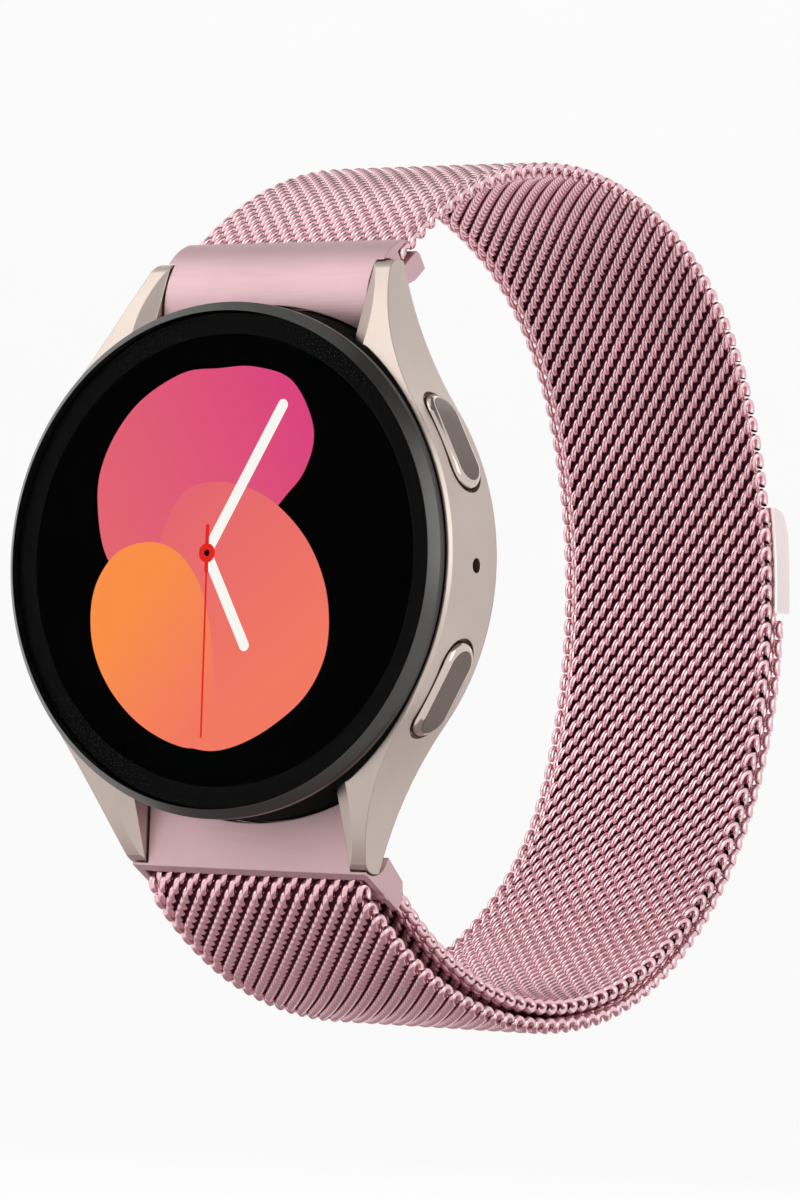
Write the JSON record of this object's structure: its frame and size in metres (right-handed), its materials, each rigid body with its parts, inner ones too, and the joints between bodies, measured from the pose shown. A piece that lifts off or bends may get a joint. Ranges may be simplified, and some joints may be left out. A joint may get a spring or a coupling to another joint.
{
  "type": "smartwatch",
  "caption": "Round smartwatch with a flat sloped bezel ring, pill side buttons and a closed mesh loop band that folds back through a loop piece to a magnetic tab",
  "frame": {"origin": "centre of the sensor window's outer face, on the dial axis", "axes": "+X to 3 o'clock, where the buttons are; +Y from the dial through the case towards the wrist; +Z to 12 o'clock"},
  "size_m": [0.0428, 0.0774, 0.074],
  "materials": {
    "case_metal": "satin anodised, warm champagne",
    "black_polymer": "fine matte",
    "ring_metal": "satin dark grey",
    "cover_glass": "polished",
    "seal_rubber": "soft matte",
    "display": "lit display under glass",
    "copper": "bare",
    "plain_steel": "bare",
    "board": "solder mask",
    "battery_skin": "film",
    "button_metal": "satin anodised, darker champagne",
    "rear_polymer": "gloss",
    "pink_metal": "satin, light pink plating",
    "pink_mesh": "polished wire, pink plating",
    "tab_metal": "polished, light pink plating",
    "magnet": "nickel plated"
  },
  "bodies": {
    "watch": {"case_frame": "case_metal", "inner_case": "black_polymer", "bezel_ring": "ring_metal", "cover_glass": "cover_glass", "glass_gasket": "seal_rubber", "display_panel": "display", "antenna_ring": "copper", "chassis": "plain_steel", "main_board": "board", "board_shields": "plain_steel", "battery": "battery_skin", "vibration_motor": "plain_steel", "speaker": "black_polymer", "microphone": "copper", "side_key_board": "board", "key_switches": "plain_steel", "button_seals": "seal_rubber", "rear_cover": "rear_polymer", "rear_gasket": "seal_rubber", "sensor_window": "cover_glass", "sensor_board": "board", "charging_coil": "copper", "case_screws": "plain_steel", "upper_end_piece": "pink_metal", "upper_spring_bar": "plain_steel", "lower_spring_bar": "plain_steel", "upper_bar_spring": "plain_steel", "lower_bar_spring": "plain_steel", "band_mesh": "pink_mesh", "foldback_mesh": "pink_mesh"},
    "upper_button": {"upper_button": "button_metal", "upper_button_clip": "plain_steel"},
    "lower_button": {"lower_button": "button_metal", "lower_button_clip": "plain_steel"},
    "upper_release_pin": {"upper_release_pin": "plain_steel"},
    "lower_release_pin": {"lower_release_pin": "plain_steel"},
    "loop_piece": {"lower_loop_piece": "pink_metal"},
    "tail_lower": {"tail_mesh_lower": "pink_mesh"},
    "tail_upper": {"tail_mesh_upper": "pink_mesh", "tab_shell": "tab_metal", "tab_cover": "tab_metal", "tab_magnets": "magnet"}
  },
  "joints": [
    {"name": "upper_button_press", "type": "slide", "parent": "watch", "child": "upper_button", "axis": [-0.8829, 0, -0.4695], "range_m": [0, 0.00035], "stiffness_N_per_m": 4000},
    {"name": "lower_button_press", "type": "slide", "parent": "watch", "child": "lower_button", "axis": [-0.8829, 0, 0.4695], "range_m": [0, 0.00035], "stiffness_N_per_m": 4000},
    {"name": "upper_pin_release", "type": "slide", "parent": "watch", "child": "upper_release_pin", "axis": [-1, 0, 0], "range_m": [0, 0.0016], "stiffness_N_per_m": 800},
    {"name": "lower_pin_release", "type": "slide", "parent": "watch", "child": "lower_release_pin", "axis": [-1, 0, 0], "range_m": [0, 0.0016], "stiffness_N_per_m": 800},
    {"name": "loop_pivot", "type": "hinge", "parent": "watch", "child": "loop_piece", "pos_m": [0, -0.00295, -0.0226], "axis": [1, 0, 0], "range_deg": [-2, 2]},
    {"name": "tail_peel_low", "type": "hinge", "parent": "watch", "child": "tail_lower", "pos_m": [0, 0.04951, -0.03111], "axis": [-1, 0, 0], "range_deg": [0, 35]},
    {"name": "tail_peel_high", "type": "hinge", "parent": "tail_lower", "child": "tail_upper", "pos_m": [0, 0.06345, -0.01364], "axis": [-1, 0, 0], "range_deg": [0, 35]}
  ]
}
